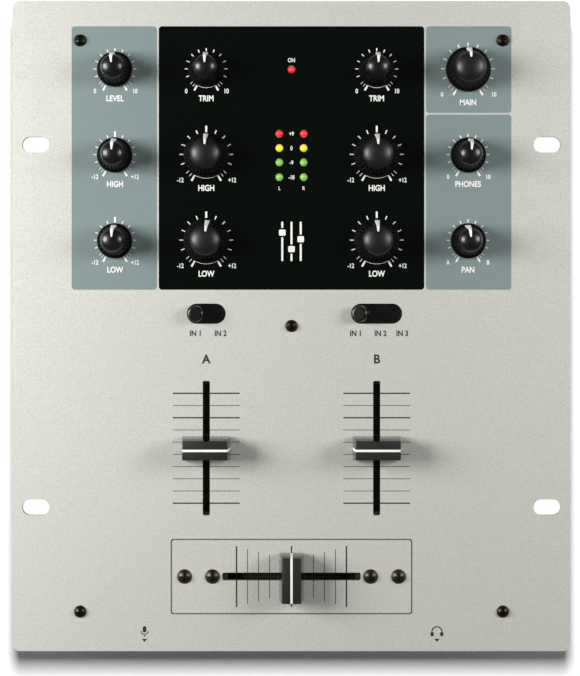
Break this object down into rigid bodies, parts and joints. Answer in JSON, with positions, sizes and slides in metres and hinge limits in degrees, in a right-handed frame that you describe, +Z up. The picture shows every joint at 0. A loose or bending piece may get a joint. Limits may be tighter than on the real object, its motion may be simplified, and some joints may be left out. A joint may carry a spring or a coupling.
{
  "type": "dj mixer",
  "caption": "Two channel DJ mixer: a silver rack faceplate on a black steel chassis, with fluted knobs, channel faders, a crossfader on an inset plate, level meter lights and rear sockets.",
  "frame": {"origin": "on the ground under the middle of the faceplate, which is the bottom centre of the bounding box", "axes": "+Z up, +X to the user's right, +Y from the front edge to the rear"},
  "size_m": [0.254, 0.296, 0.087],
  "materials": {
    "faceplate_silver": "satin silver paint with a fine metal sparkle",
    "chassis_black": "fine textured black powder coat",
    "knob_black": "glossy black",
    "body_black": "satin black",
    "steel": "plated sheet",
    "bright_steel": "nickel plated",
    "dark_screw": "black oxide",
    "bronze_screw": "dark bronzed",
    "foot_rubber": "matt",
    "brass": "turned",
    "board_green": "solder mask",
    "card_brown": "phenolic card",
    "insert_plastic": "white upper and red lower inserts",
    "red_light": "diffused red lens",
    "yellow_light": "diffused yellow lens",
    "green_light": "diffused green lens"
  },
  "bodies": {
    "housing": {"faceplate": "faceplate_silver", "crossfader_plate": "faceplate_silver", "chassis": "chassis_black", "machine_screws": "dark_screw", "crossfader_screws": "bronze_screw", "feet": "foot_rubber", "pot_bodies": "steel", "fader_frames": "steel", "fader_cards": "card_brown", "fader_rails": "bright_steel", "source_switch_frames": "steel", "red_lights": "red_light", "yellow_lights": "yellow_light", "green_lights": "green_light", "main_board": "board_green", "io_board": "board_green", "board_standoffs": "brass", "rca_blocks": "body_black", "rca_sleeves": "bright_steel", "rca_inserts": "insert_plastic", "usb_socket": "bright_steel", "dc_inlet": "body_black", "power_switch_frame": "body_black", "jack_sockets": "body_black", "jack_nuts": "body_black"},
    "mic_gain_control": {"mic_gain_knob": "knob_black", "mic_gain_shaft": "steel"},
    "mic_treble_control": {"mic_treble_knob": "knob_black", "mic_treble_shaft": "steel"},
    "mic_bass_control": {"mic_bass_knob": "knob_black", "mic_bass_shaft": "steel"},
    "ch1_gain_control": {"ch1_gain_knob": "knob_black", "ch1_gain_shaft": "steel"},
    "ch1_treble_control": {"ch1_treble_knob": "knob_black", "ch1_treble_shaft": "steel"},
    "ch1_bass_control": {"ch1_bass_knob": "knob_black", "ch1_bass_shaft": "steel"},
    "ch2_gain_control": {"ch2_gain_knob": "knob_black", "ch2_gain_shaft": "steel"},
    "ch2_treble_control": {"ch2_treble_knob": "knob_black", "ch2_treble_shaft": "steel"},
    "ch2_bass_control": {"ch2_bass_knob": "knob_black", "ch2_bass_shaft": "steel"},
    "master_control": {"master_knob": "knob_black", "master_shaft": "steel"},
    "cue_gain_control": {"cue_gain_knob": "knob_black", "cue_gain_shaft": "steel"},
    "cue_mix_control": {"cue_mix_knob": "knob_black", "cue_mix_shaft": "steel"},
    "ch1_fader": {"ch1_fader_cap": "knob_black", "ch1_fader_carriage": "body_black"},
    "ch2_fader": {"ch2_fader_cap": "knob_black", "ch2_fader_carriage": "body_black"},
    "crossfader": {"crossfader_cap": "knob_black", "crossfader_carriage": "body_black"},
    "ch1_switch": {"ch1_source_switch": "knob_black"},
    "ch2_switch": {"ch2_source_switch": "knob_black"},
    "power_rocker": {"power_rocker": "knob_black"},
    "ground_washer": {"ground_washer": "steel"},
    "ground_screw": {"ground_screw": "bright_steel"}
  },
  "joints": [
    {"name": "mic_gain_turn", "type": "hinge", "parent": "housing", "child": "mic_gain_control", "pos_m": [-0.08035, 0.1167, 0.071], "axis": [0, 0, 1], "range_deg": [-156, 144]},
    {"name": "mic_treble_turn", "type": "hinge", "parent": "housing", "child": "mic_treble_control", "pos_m": [-0.08035, 0.0777, 0.071], "axis": [0, 0, 1], "range_deg": [-150, 150]},
    {"name": "mic_bass_turn", "type": "hinge", "parent": "housing", "child": "mic_bass_control", "pos_m": [-0.08035, 0.0387, 0.071], "axis": [0, 0, 1], "range_deg": [-150, 150]},
    {"name": "ch1_gain_turn", "type": "hinge", "parent": "housing", "child": "ch1_gain_control", "pos_m": [-0.0388, 0.1167, 0.071], "axis": [0, 0, 1], "range_deg": [-151, 149]},
    {"name": "ch1_treble_turn", "type": "hinge", "parent": "housing", "child": "ch1_treble_control", "pos_m": [-0.0388, 0.0777, 0.071], "axis": [0, 0, 1], "range_deg": [-150, 150]},
    {"name": "ch1_bass_turn", "type": "hinge", "parent": "housing", "child": "ch1_bass_control", "pos_m": [-0.0388, 0.0387, 0.071], "axis": [0, 0, 1], "range_deg": [-145, 155]},
    {"name": "ch2_gain_turn", "type": "hinge", "parent": "housing", "child": "ch2_gain_control", "pos_m": [0.0388, 0.1167, 0.071], "axis": [0, 0, 1], "range_deg": [-147, 153]},
    {"name": "ch2_treble_turn", "type": "hinge", "parent": "housing", "child": "ch2_treble_control", "pos_m": [0.0388, 0.0777, 0.071], "axis": [0, 0, 1], "range_deg": [-150, 150]},
    {"name": "ch2_bass_turn", "type": "hinge", "parent": "housing", "child": "ch2_bass_control", "pos_m": [0.0388, 0.0387, 0.071], "axis": [0, 0, 1], "range_deg": [-150, 150]},
    {"name": "master_turn", "type": "hinge", "parent": "housing", "child": "master_control", "pos_m": [0.08035, 0.1167, 0.071], "axis": [0, 0, 1], "range_deg": [-150, 150]},
    {"name": "cue_gain_turn", "type": "hinge", "parent": "housing", "child": "cue_gain_control", "pos_m": [0.08035, 0.0777, 0.071], "axis": [0, 0, 1], "range_deg": [-144, 156]},
    {"name": "cue_mix_turn", "type": "hinge", "parent": "housing", "child": "cue_mix_control", "pos_m": [0.08035, 0.0387, 0.071], "axis": [0, 0, 1], "range_deg": [-155, 145]},
    {"name": "ch1_fader_slide", "type": "slide", "parent": "housing", "child": "ch1_fader", "axis": [0, 1, 0], "range_m": [-0.025, 0.025]},
    {"name": "ch2_fader_slide", "type": "slide", "parent": "housing", "child": "ch2_fader", "axis": [0, 1, 0], "range_m": [-0.025, 0.025]},
    {"name": "crossfader_slide", "type": "slide", "parent": "housing", "child": "crossfader", "axis": [1, 0, 0], "range_m": [-0.025, 0.025]},
    {"name": "ch1_switch_slide", "type": "slide", "parent": "housing", "child": "ch1_switch", "axis": [1, 0, 0], "range_m": [0, 0.0085]},
    {"name": "ch2_switch_slide", "type": "slide", "parent": "housing", "child": "ch2_switch", "axis": [1, 0, 0], "range_m": [0, 0.0142]},
    {"name": "power_rocker_tilt", "type": "hinge", "parent": "housing", "child": "power_rocker", "pos_m": [0.089, 0.1363, 0.0282], "axis": [1, 0, 0], "range_deg": [-18, 0]},
    {"name": "ground_washer_slide", "type": "slide", "parent": "housing", "child": "ground_washer", "axis": [0, 1, 0], "range_m": [0, 0.0021]},
    {"name": "ground_screw_turn", "type": "hinge", "parent": "ground_washer", "child": "ground_screw", "pos_m": [-0.05169, 0.138, 0.0282], "axis": [0, 1, 0], "range_deg": [0, 1081]}
  ],
  "couplings": [
    {"joint": "ground_screw_turn", "follows": "ground_washer_slide", "rad_per_m": 8976}
  ]
}
